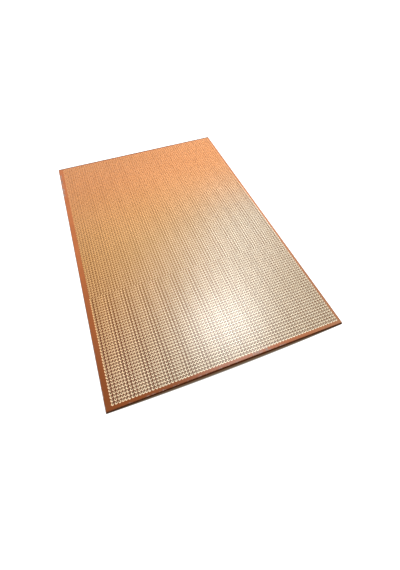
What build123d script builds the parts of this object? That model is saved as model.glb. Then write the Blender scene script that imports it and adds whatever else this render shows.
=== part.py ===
from build123d import *
import os

os.makedirs("parts", exist_ok=True)

# Driving dimensions, in millimetres. The board lies flat, copper side up.
# X runs across it, Y along it, and the origin is on its underside, at the middle.
board_width = 200.0
board_length = 300.0
board_thickness = 1.6
hole_pitch = 2.54
hole_diameter = 1.0
edge_break = 0.2  # the worn slope along the top of the sheared edges
least_margin = 3.5  # from an edge of the sheet to the first line of hole centres, at least
grid_offset = 1.1  # the sheet was sheared off centre, so the left margin is the wide one
strip_count = 24  # the sheet is written in strips, each with fewer than 400 holes

# The grid of holes fills the sheet between its margins.
hole_columns = int((board_width - 2 * least_margin) / hole_pitch) + 1
hole_rows = int((board_length - 2 * least_margin) / hole_pitch) + 1
first_row_y = -(hole_rows - 1) * hole_pitch / 2


def boundary_y(row):
    """Where a strip begins: an end of the sheet, or halfway between this row and the one before."""
    if row == 0:
        return -board_length / 2
    if row == hole_rows:
        return board_length / 2
    return first_row_y + (row - 0.5) * hole_pitch


# The perforated sheet, strip by strip from its near end to its far end.
for strip_index in range(strip_count):
    first_row = hole_rows * strip_index // strip_count
    end_row = hole_rows * (strip_index + 1) // strip_count
    near_y = boundary_y(first_row)
    far_y = boundary_y(end_row)
    rows_middle_y = first_row_y + (first_row + end_row - 1) / 2 * hole_pitch

    with BuildPart() as strip:
        with BuildSketch(Plane.XY):
            with Locations((0, (near_y + far_y) / 2)):
                Rectangle(board_width, far_y - near_y)
        extrude(amount=board_thickness)

        # Only the edges on the outline of the whole sheet are sloped.
        top_edges = strip.faces().sort_by(Axis.Z)[-1].edges()
        sloped_edges = top_edges.filter_by(Axis.Y)
        if first_row == 0:
            sloped_edges += top_edges.sort_by(Axis.Y)[:1]
        if end_row == hole_rows:
            sloped_edges += top_edges.sort_by(Axis.Y)[-1:]
        chamfer(sloped_edges, length=edge_break)

        with Locations((grid_offset, rows_middle_y)):
            with GridLocations(hole_pitch, hole_pitch, hole_columns, end_row - first_row):
                Hole(hole_diameter / 2)

    strip.part.label = f"board_strip_{strip_index + 1:02d}"
    export_step(strip.part, f"parts/{strip.part.label}.step")
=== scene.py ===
import math

import bpy
import numpy as np
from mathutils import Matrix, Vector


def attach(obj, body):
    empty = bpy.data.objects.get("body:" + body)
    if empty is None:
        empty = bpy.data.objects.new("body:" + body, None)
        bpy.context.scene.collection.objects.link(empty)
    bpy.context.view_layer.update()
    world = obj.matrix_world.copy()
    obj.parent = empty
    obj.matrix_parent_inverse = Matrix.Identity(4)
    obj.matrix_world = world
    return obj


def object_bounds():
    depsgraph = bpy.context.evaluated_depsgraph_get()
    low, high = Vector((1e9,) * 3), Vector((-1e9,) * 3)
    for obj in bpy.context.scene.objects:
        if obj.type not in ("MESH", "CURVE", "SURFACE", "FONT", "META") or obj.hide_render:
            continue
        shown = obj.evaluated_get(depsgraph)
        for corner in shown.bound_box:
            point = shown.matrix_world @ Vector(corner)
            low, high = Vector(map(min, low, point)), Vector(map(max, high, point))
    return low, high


# Lengths are in metres. The board lies on the floor, copper side up: X across it, Y along it.
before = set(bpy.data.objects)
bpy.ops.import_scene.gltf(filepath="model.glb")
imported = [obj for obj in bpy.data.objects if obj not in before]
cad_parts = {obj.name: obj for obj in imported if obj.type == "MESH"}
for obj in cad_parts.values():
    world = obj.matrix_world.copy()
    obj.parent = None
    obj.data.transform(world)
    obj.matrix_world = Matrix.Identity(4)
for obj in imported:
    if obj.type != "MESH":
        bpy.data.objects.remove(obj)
cad_low, cad_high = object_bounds()

# The sheet and its grid of holes, as the solids have them.
PITCH = 0.00254
HOLE_RADIUS = 0.0005
LEAST_MARGIN = 0.0035
GRID_OFFSET = 0.0011
BOARD_WIDTH = cad_high[0] - cad_low[0]
BOARD_LENGTH = cad_high[1] - cad_low[1]
BOARD_TOP = cad_high[2]
BOARD_HALF_SIZE = (BOARD_WIDTH / 2, BOARD_LENGTH / 2)
COLUMNS = int((BOARD_WIDTH - 2 * LEAST_MARGIN) / PITCH) + 1
ROWS = int((BOARD_LENGTH - 2 * LEAST_MARGIN) / PITCH) + 1
GRID_MIDDLE = (GRID_OFFSET, 0.0)
GRID_HALF_SIZE = ((COLUMNS - 1) * PITCH / 2, (ROWS - 1) * PITCH / 2)

# Copper pads: foil rings, all etched at once, round holes that were punched block by block.
# A pad's own hole is a little wider than the sheet's, and some copper is left all round it.
PAD_RADIUS = 0.00104
PAD_HOLE_GAP = 0.00002
PAD_HOLE_RADIUS = HOLE_RADIUS + PAD_HOLE_GAP
THINNEST_COPPER = 0.00003
FOIL_THICKNESS = 0.000035
PAD_SIDES = 12
ROWS_IN_A_PIECE = 24
# How far the pads lie from their holes: across the board in each block of rows, and along it
# in the first row and from the second block on.
PUNCH_BLOCK_ROWS = 38
BLOCK_SHIFT = [0.00008, 0.0001, 0.0, 0.0]
SHIFT_ALONG = (-0.00032, -0.0001)
# Within each six columns the pads wander to the side and back. For each block of rows: how far
# at the left and at the right of the board, and in which column the farthest.
PUNCH_COLUMNS = 6
WANDER = [(-0.00052, -0.00012, 5), (0.0001, 0.0003, 4), (0.00015, 0.0001, 4), (0.00015, 0.0001, 4)]

# Two directions in which the colours change across the board, as shares of X and Y.
TO_FAR_RIGHT = (0.6, 0.8)
TO_NEAR_RIGHT = (0.8, -0.6)

# Where the laminate's looks change. The two numbers are where a change begins and ends,
# counted outward from the outer lines of holes or from the sheet's edge.
HAZE_END = (0.0008, 0.0012)
SCUFFED_RIM = (-0.0009, -0.0001)
# where the painted shade along the far edge begins and ends
FAR_RIM_SHADE = (-0.0021, -0.0009)
# The two places that are worn harder: the middle of each, and its reach, across and along.
NEAR_SPOT = (0.024, -BOARD_LENGTH / 2)
NEAR_SPOT_REACH = (0.006, 0.0045)
LEFT_CHIPS = (-BOARD_WIDTH / 2, 0.117)
LEFT_CHIPS_REACH = (0.0015, 0.022)
HARD_WEAR = 0.8
HARD_WEAR_FADE = 0.0012

# The floor beside the board carries a painted shadow: a thin dark line along its long edges and far
# end, and a wider dark band before its near end, which is red-brown where it meets the board.
FLOOR_SIZE = 6.0
FLOOR_COLOUR = 0.86
FLOOR_LIFT = 0.8  # a glow only where the floor is seen, which makes it white there
PAINTED_SHADOW_LINE = 0.001
PAINTED_SHADOW_RED_END = (0.0004, 0.0013)
PAINTED_SHADOW_END = (0.0018, 0.0034)
# The painted shadow band's real width as a share of that: at the middle, and how much less at the
# corners.
PAINTED_SHADOW_AT_MIDDLE = 1.1
PAINTED_SHADOW_LESS_AT_CORNERS = 0.7

# Light: even surroundings, a long panel to the far right and a small lamp before it.
WORLD_LIGHT = 0.395
PANEL_PLACE = (0.38, 0.475, 0.8)
PANEL_SIZE = (0.26, 0.66)
PANEL_TURN_DEGREES = -30.0
PANEL_WATTS = 3.5
LAMP_PLACE = (0.225, 0.21, 0.8)
LAMP_SIZE = (0.24, 0.2)
LAMP_WATTS = 4.8

# The camera: where the photograph was taken from.
CAMERA_PLACE = (-0.05287, -0.21015, 0.22642)
CAMERA_TURN_DEGREES = (33.388, 0.6, -20.546)
FOCAL_LENGTH_MM = 18.604
SENSOR_MM = 36.0
CAMERA_SHIFT_ACROSS = 0.0105
NEAREST_SEEN = 0.01


class Nodes:
    """A node tree that starts empty, with short calls for the nodes used below."""

    def __init__(self, tree):
        self.tree = tree
        tree.nodes.clear()

    def add(self, kind, **inputs):
        """A node, with its inputs by name: a value stays on the socket, and a socket is linked."""
        node = self.tree.nodes.new("ShaderNode" + kind)
        for name, value in inputs.items():
            self.fill(node.inputs[name.replace("_", " ")], value)
        return node

    def fill(self, target, value):
        if isinstance(value, bpy.types.NodeSocket):
            self.tree.links.new(value, target)
        elif isinstance(value, tuple) and target.type == "RGBA":
            target.default_value = (*value, 1.0)
        else:
            target.default_value = value

    def math(self, operation, first, second=0.0, clamp=False):
        node = self.add("Math")
        node.operation = operation
        node.use_clamp = clamp
        self.fill(node.inputs[0], first)
        self.fill(node.inputs[1], second)
        return node.outputs[0]

    def vector_math(self, operation, first, second):
        node = self.add("VectorMath")
        node.operation = operation
        self.fill(node.inputs[0], first)
        self.fill(node.inputs[1], second)
        return node.outputs[0]

    def split(self, vector):
        return self.add("SeparateXYZ", Vector=vector).outputs

    def along(self, x, y, direction):
        """How far a point lies in a direction that is given as shares of X and Y."""
        shares = [self.math("MULTIPLY", value, share) for value, share in zip((x, y), direction)]
        return self.math("ADD", *shares)

    def outside(self, value, middle, reach):
        """How far a value lies outside a span: below 0 within the span."""
        away = self.math("ABSOLUTE", self.math("SUBTRACT", value, middle))
        return self.math("SUBTRACT", away, reach)

    def outside_rectangle(self, x, y, middle, reach):
        """How far a point lies outside a rectangle: below 0 within it."""
        across = self.outside(x, middle[0], reach[0])
        along = self.outside(y, middle[1], reach[1])
        return self.math("MAXIMUM", across, along)

    def noise(self, vector, scale, detail=2.0, roughness=0.5):
        node = self.add("TexNoise", Vector=vector, Scale=scale, Detail=detail, Roughness=roughness)
        return node.outputs["Fac"]

    def ramp(self, value, low, high, to_low=0.0, to_high=1.0):
        """From to_low to to_high, with soft ends, as value goes from low to high."""
        node = self.add(
            "MapRange", Value=value, From_Min=low, From_Max=high, To_Min=to_low, To_Max=to_high
        )
        node.interpolation_type = "SMOOTHSTEP"
        return node.outputs["Result"]

    def mix(self, factor, first, second):
        """A colour from first to second as the factor goes from 0 to 1."""
        node = self.add("Mix")
        node.data_type = "RGBA"
        sockets = {socket.identifier: socket for socket in node.inputs}
        self.fill(sockets["Factor_Float"], factor)
        self.fill(sockets["A_Color"], first)
        self.fill(sockets["B_Color"], second)
        return next(socket for socket in node.outputs if socket.identifier == "Result_Color")

    def seen_share(self):
        """1 for rays that the camera, a mirror or glass sends, and 0 for the rest."""
        path = self.add("LightPath").outputs
        both = self.math("ADD", path["Is Camera Ray"], path["Is Glossy Ray"], clamp=True)
        return self.math("ADD", both, path["Is Transmission Ray"], clamp=True)


def new_material(name):
    material = bpy.data.materials.new(name)
    material.use_nodes = True
    return material, Nodes(material.node_tree)


def bare_colour(nodes, x, y, patches):
    """The laminate of the margins: darkest in its near left corner, which is painted shade, and
    duller along the right edge.
    """
    shaded_near_left = nodes.mix(patches, (0.22, 0.05, 0.003), (0.26, 0.06, 0.005))
    pale = nodes.mix(patches, (0.5, 0.145, 0.04), (0.55, 0.165, 0.05))
    # darker towards the near left corner: painted shade
    colour = nodes.mix(nodes.ramp(nodes.along(x, y, TO_FAR_RIGHT), -0.19, -0.03), shaded_near_left, pale)
    right_edge = nodes.mix(nodes.ramp(y, -0.12, 0.0), (0.41, 0.175, 0.08), (0.53, 0.205, 0.085))
    return nodes.mix(nodes.ramp(x, 0.04, BOARD_WIDTH / 2), colour, right_edge)


def hazed_colour(nodes, x, y):
    """The laminate among the pads, hazed by flux varnish: dark at the near left, which is painted
    shade, golden beyond.
    """
    shaded_near_left = (0.14, 0.026, 0.003)
    golden = (0.29, 0.15, 0.044)
    near_right = (0.2, 0.11, 0.062)
    far = (0.34, 0.125, 0.035)
    # darker towards the near left corner: painted shade
    colour = nodes.mix(nodes.ramp(nodes.along(x, y, TO_FAR_RIGHT), -0.16, 0.01), shaded_near_left, golden)
    colour = nodes.mix(nodes.ramp(nodes.along(x, y, TO_NEAR_RIGHT), -0.04, 0.1), colour, near_right)
    return nodes.mix(nodes.ramp(y, 0.0, 0.12), colour, far)


def scuffed_share(nodes, x, y, scuffs):
    """How far a face is scuffed grey by handling: along the rim, and harder at two worn places."""
    to_rim = nodes.outside_rectangle(x, y, (0.0, 0.0), BOARD_HALF_SIZE)
    rim = nodes.math("MULTIPLY", nodes.ramp(to_rim, *SCUFFED_RIM), nodes.ramp(scuffs, 0.5, 0.65))
    from_spot = nodes.outside_rectangle(x, y, NEAR_SPOT, NEAR_SPOT_REACH)
    from_chips = nodes.outside_rectangle(x, y, LEFT_CHIPS, LEFT_CHIPS_REACH)
    from_worn_place = nodes.math("MINIMUM", from_spot, from_chips)
    worn_place = nodes.ramp(from_worn_place, 0.0, HARD_WEAR_FADE, HARD_WEAR, 0.0)
    harder = nodes.math("MULTIPLY", worn_place, nodes.ramp(scuffs, 0.36, 0.56))
    return nodes.math("MAXIMUM", rim, harder)


def laminate_material():
    """Phenolic paper laminate: red-brown with resin gloss on its faces, dark and dull where cut."""
    material, nodes = new_material("phenolic_laminate")
    place = nodes.add("TexCoord").outputs["Object"]
    x, y, _ = nodes.split(place)
    up = nodes.split(nodes.add("NewGeometry").outputs["True Normal"])["Z"]
    drawn_out = nodes.vector_math("MULTIPLY", place, (1.0, 0.25, 1.0))
    grain = nodes.noise(drawn_out, 900.0, detail=4.0, roughness=0.6)
    patches = nodes.ramp(nodes.noise(place, 28.0), 0.3, 0.7)
    scuffs = nodes.noise(place, 260.0, detail=3.0, roughness=0.7)
    worn = nodes.mix(nodes.ramp(grain, 0.35, 0.65), (0.22, 0.12, 0.08), (0.5, 0.36, 0.3))

    # the faces, with haze and scuffs on the copper side only
    copper_side = nodes.ramp(up, 0.4, 0.6)
    beyond_grid = nodes.outside_rectangle(x, y, GRID_MIDDLE, GRID_HALF_SIZE)
    hazed = nodes.math("MULTIPLY", nodes.ramp(beyond_grid, *HAZE_END, 1.0, 0.0), copper_side)
    scuffed = nodes.math("MULTIPLY", scuffed_share(nodes, x, y, scuffs), copper_side)
    paper_fibres = (0.22, 0.06, 0.018)
    face = nodes.mix(hazed, bare_colour(nodes, x, y, patches), hazed_colour(nodes, x, y))
    face = nodes.mix(nodes.ramp(grain, 0.35, 0.8, 0.0, 0.3), face, paper_fibres)
    face = nodes.mix(scuffed, face, worn)

    # the sheared sides and the walls of the holes are cut, and the slope along the top edges
    # is worn: the normal of a face is upright, a slope's leans halfway and a cut's lies flat
    is_face = nodes.ramp(nodes.math("ABSOLUTE", up), 0.85, 0.95)
    is_slope = nodes.math("MULTIPLY", copper_side, nodes.ramp(up, 0.85, 0.95, 1.0, 0.0))
    cut = nodes.mix(nodes.ramp(grain, 0.3, 0.7), (0.19, 0.045, 0.01), (0.3, 0.075, 0.018))
    slope = nodes.mix(nodes.ramp(scuffs, 0.5, 0.65), (0.2, 0.06, 0.02), worn)
    colour = nodes.mix(is_slope, nodes.mix(is_face, cut, face), slope)

    # the far rim is darker and grey: painted shade along the rounded far edge
    rim_start, rim_full = (BOARD_LENGTH / 2 + outward for outward in FAR_RIM_SHADE)
    far_rim_shade = nodes.math("MULTIPLY", nodes.ramp(y, rim_start, rim_full), copper_side)
    colour = nodes.mix(far_rim_shade, colour, (0.14, 0.12, 0.095))

    bump = nodes.add("Bump", Height=grain, Strength=0.2, Distance=0.00003)
    shader = nodes.add(
        "BsdfPrincipled",
        Base_Color=colour,
        Roughness=nodes.ramp(is_face, 0.0, 1.0, 0.75, 0.26),
        Specular_IOR_Level=0.25,
        Normal=bump.outputs[0],
    )
    nodes.add("OutputMaterial", Surface=shader.outputs[0])
    return material


def copper_material():
    """Etched copper under thin flux varnish: golden, paler at the near end, redder at the far,
    partly the varnish's own tone and partly painted reflection; the pale near right is painted
    sheen of the lamp's glare.
    """
    material, nodes = new_material("varnished_copper")
    place = nodes.add("TexCoord").outputs["Object"]
    x, y, _ = nodes.split(place)
    patches = nodes.ramp(nodes.noise(place, 16.0), 0.3, 0.7)
    cream = nodes.mix(patches, (0.9, 0.6, 0.33), (0.94, 0.63, 0.36))
    golden = nodes.mix(patches, (0.71, 0.4, 0.135), (0.75, 0.43, 0.16))
    pale = nodes.mix(patches, (0.51, 0.445, 0.32), (0.55, 0.48, 0.355))
    red = nodes.mix(patches, (0.82, 0.385, 0.14), (0.86, 0.415, 0.16))
    # cream at the near end and red at the far: partly the varnish's own tone, partly painted
    # reflection
    colour = nodes.mix(nodes.ramp(y, -0.165, -0.09), cream, golden)
    # paler towards the near right: painted sheen where the lamp's glare falls
    colour = nodes.mix(nodes.ramp(nodes.along(x, y, TO_NEAR_RIGHT), -0.08, 0.08), colour, pale)
    colour = nodes.mix(nodes.ramp(y, -0.02, 0.12), colour, red)

    # a little uneven, in squares as wide as the pitch
    square = nodes.vector_math("SNAP", place, (PITCH, PITCH, 1.0))
    chance = nodes.add("TexWhiteNoise", Vector=square).outputs["Value"]
    browner = (0.62, 0.4, 0.18)
    colour = nodes.mix(nodes.ramp(chance, 0.0, 1.0, 0.0, 0.1), colour, browner)

    drawn_out = nodes.vector_math("MULTIPLY", place, (0.2, 1.0, 1.0))
    scratches = nodes.noise(drawn_out, 5000.0)
    bump = nodes.add("Bump", Height=scratches, Strength=0.05, Distance=0.000005)
    shader = nodes.add(
        "BsdfPrincipled",
        Base_Color=colour,
        Roughness=nodes.ramp(scratches, 0.3, 0.7, 0.6, 0.7),
        Metallic=1.0,
        Coat_Weight=1.0,
        Coat_Roughness=0.3,
        Normal=bump.outputs[0],
    )
    nodes.add("OutputMaterial", Surface=shader.outputs[0])
    return material


def pad_shifts(row, column):
    """How far each pad lies from its hole, across and along the board."""
    block = row // PUNCH_BLOCK_ROWS
    across = np.array(BLOCK_SHIFT)[block]
    at_left, at_right, widest_column = np.array(WANDER)[block].T
    wave = 0.5 + 0.5 * np.cos(2 * math.pi * (column - widest_column) / PUNCH_COLUMNS)
    across += wave * (at_left + (at_right - at_left) * column / COLUMNS)
    along = np.interp(row, (0, PUNCH_BLOCK_ROWS), SHIFT_ALONG)
    return np.stack([across, along], axis=1)


def pad_circles(first_row, end_row):
    """The corners of some rows of pads: for each pad its rim and its hole, below and above."""
    row, column = (numbers.ravel() for numbers in np.mgrid[first_row:end_row, 0:COLUMNS])
    hole_x = GRID_OFFSET + (column - (COLUMNS - 1) / 2) * PITCH
    hole_y = (row - (ROWS - 1) / 2) * PITCH
    hole = np.stack([hole_x, hole_y], axis=1)[:, None]

    turns = 2 * math.pi * (np.arange(PAD_SIDES) + 0.5) / PAD_SIDES
    circle = PAD_RADIUS * np.stack([np.cos(turns), np.sin(turns)], axis=1)
    from_hole = pad_shifts(row, column)[:, None] + circle
    reach = np.linalg.norm(from_hole, axis=2, keepdims=True)
    away = from_hole / reach
    rim = hole + away * np.maximum(reach, PAD_HOLE_RADIUS + THINNEST_COPPER)
    bore = hole + away * PAD_HOLE_RADIUS

    foil_top = BOARD_TOP + FOIL_THICKNESS
    circles = [(rim, BOARD_TOP), (rim, foil_top), (bore, foil_top), (bore, BOARD_TOP)]
    return np.stack([np.insert(flat, 2, height, axis=2) for flat, height in circles], axis=1)


def pads_piece(name, first_row, end_row):
    """The pads of some rows as one mesh, each a closed ring of foil."""
    points = pad_circles(first_row, end_row)
    index = np.arange(points.size // 3).reshape(points.shape[:3])

    # each face joins two neighbours on a circle to the two beside them on the next circle
    next_circle = np.roll(index, -1, axis=1)
    corners = np.stack(
        [index, np.roll(index, -1, axis=2), np.roll(next_circle, -1, axis=2), next_circle], axis=3
    )

    mesh = bpy.data.meshes.new(name)
    mesh.vertices.add(index.size)
    mesh.vertices.foreach_set("co", points.ravel().astype(np.float32))
    mesh.loops.add(corners.size)
    mesh.loops.foreach_set("vertex_index", corners.ravel().astype(np.int32))
    mesh.polygons.add(index.size)
    mesh.polygons.foreach_set("loop_start", np.arange(0, corners.size, 4, dtype=np.int32))
    mesh.update(calc_edges=True)
    mesh.shade_flat()
    piece = bpy.data.objects.new(name, mesh)
    bpy.context.collection.objects.link(piece)
    return piece


def add_pads():
    """All the copper pads, in pieces of a few rows each."""
    material = copper_material()
    for number, first_row in enumerate(range(0, ROWS, ROWS_IN_A_PIECE)):
        end_row = min(first_row + ROWS_IN_A_PIECE, ROWS)
        piece = pads_piece(f"copper_pads_{number + 1}", first_row, end_row)
        piece.data.materials.append(material)
        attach(piece, "root")


def dress_laminate():
    """Gives every strip of the sheet the laminate's looks."""
    material = laminate_material()
    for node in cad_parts.values():
        for slot in node.material_slots:
            slot.material = material


def floor_material():
    """A pale floor that looks white where it is lit, with a painted shadow round and under the
    board.
    """
    material, nodes = new_material("pale_floor")
    x, y, _ = nodes.split(nodes.add("TexCoord").outputs["Object"])

    # how far a point lies beyond the board's long edges or far end, and before its near end
    past_far_end = nodes.math("SUBTRACT", y, BOARD_LENGTH / 2)
    beyond = nodes.math("MAXIMUM", nodes.outside(x, 0.0, BOARD_WIDTH / 2), past_far_end)
    before = nodes.math("SUBTRACT", nodes.math("MULTIPLY", y, -1.0), BOARD_LENGTH / 2)

    # the painted shadow band is wider at the middle of the near end than at its corners
    off_middle = nodes.math("POWER", nodes.math("DIVIDE", x, BOARD_WIDTH / 2), 2.0)
    less = nodes.math("MULTIPLY", off_middle, PAINTED_SHADOW_LESS_AT_CORNERS)
    before = nodes.math("DIVIDE", before, nodes.math("SUBTRACT", PAINTED_SHADOW_AT_MIDDLE, less))

    # 1 out in the open, and 0 under the board and right beside it, where the shadow is painted
    open_beside = nodes.ramp(beyond, 0.0, PAINTED_SHADOW_LINE)
    open_before = nodes.ramp(before, *PAINTED_SHADOW_END)
    open_floor = nodes.math("MAXIMUM", open_beside, open_before)

    shadow_red_brown = (0.15, 0.04, 0.01)
    shadow_grey_brown = (0.15, 0.105, 0.065)
    pale = (FLOOR_COLOUR, FLOOR_COLOUR, FLOOR_COLOUR)
    # painted shadow: red-brown where it meets the board, grey-brown further out
    shade = nodes.mix(nodes.ramp(before, *PAINTED_SHADOW_RED_END), shadow_red_brown, shadow_grey_brown)
    diffuse = nodes.add("BsdfDiffuse", Color=nodes.mix(open_floor, shade, pale))
    seen_in_the_open = nodes.math("MULTIPLY", nodes.seen_share(), open_floor)
    glow = nodes.add("Emission", Strength=nodes.math("MULTIPLY", seen_in_the_open, FLOOR_LIFT))
    both = nodes.add("AddShader")
    nodes.fill(both.inputs[0], diffuse.outputs[0])
    nodes.fill(both.inputs[1], glow.outputs[0])
    nodes.add("OutputMaterial", Surface=both.outputs[0])
    return material


def add_floor():
    """A level floor that reaches well past the board."""
    bpy.ops.mesh.primitive_plane_add(size=FLOOR_SIZE)
    floor = bpy.context.object
    floor.name = "floor"
    floor.data.materials.append(floor_material())


def add_world():
    """Even white surroundings: white where they are seen, a plain level as light."""
    world = bpy.data.worlds.new("studio")
    world.use_nodes = True
    bpy.context.scene.world = world
    nodes = Nodes(world.node_tree)
    strength = nodes.ramp(nodes.seen_share(), 0.0, 1.0, WORLD_LIGHT, 1.0)
    background = nodes.add("Background", Color=(1.0, 1.0, 1.0), Strength=strength)
    nodes.add("OutputWorld", Surface=background.outputs[0])


def add_lamp(name, place, size, watts, turn_degrees=0.0):
    """A soft rectangular light that faces straight down."""
    data = bpy.data.lights.new(name, "AREA")
    data.shape = "RECTANGLE"
    data.size, data.size_y = size
    data.energy = watts
    lamp = bpy.data.objects.new(name, data)
    bpy.context.collection.objects.link(lamp)
    lamp.location = place
    lamp.rotation_euler = (0.0, 0.0, math.radians(turn_degrees))


def add_camera():
    """The camera that sees the board as the photograph does."""
    data = bpy.data.cameras.new("camera")
    data.sensor_width = SENSOR_MM
    data.lens = FOCAL_LENGTH_MM
    data.shift_x = CAMERA_SHIFT_ACROSS
    data.clip_start = NEAREST_SEEN
    camera = bpy.data.objects.new("camera", data)
    bpy.context.collection.objects.link(camera)
    camera.location = CAMERA_PLACE
    camera.rotation_euler = [math.radians(angle) for angle in CAMERA_TURN_DEGREES]
    bpy.context.scene.camera = camera


bpy.context.scene.view_settings.view_transform = "Standard"
add_camera()
dress_laminate()
add_pads()
add_floor()
add_world()
add_lamp("panel", PANEL_PLACE, PANEL_SIZE, PANEL_WATTS, PANEL_TURN_DEGREES)
add_lamp("small_lamp", LAMP_PLACE, LAMP_SIZE, LAMP_WATTS)
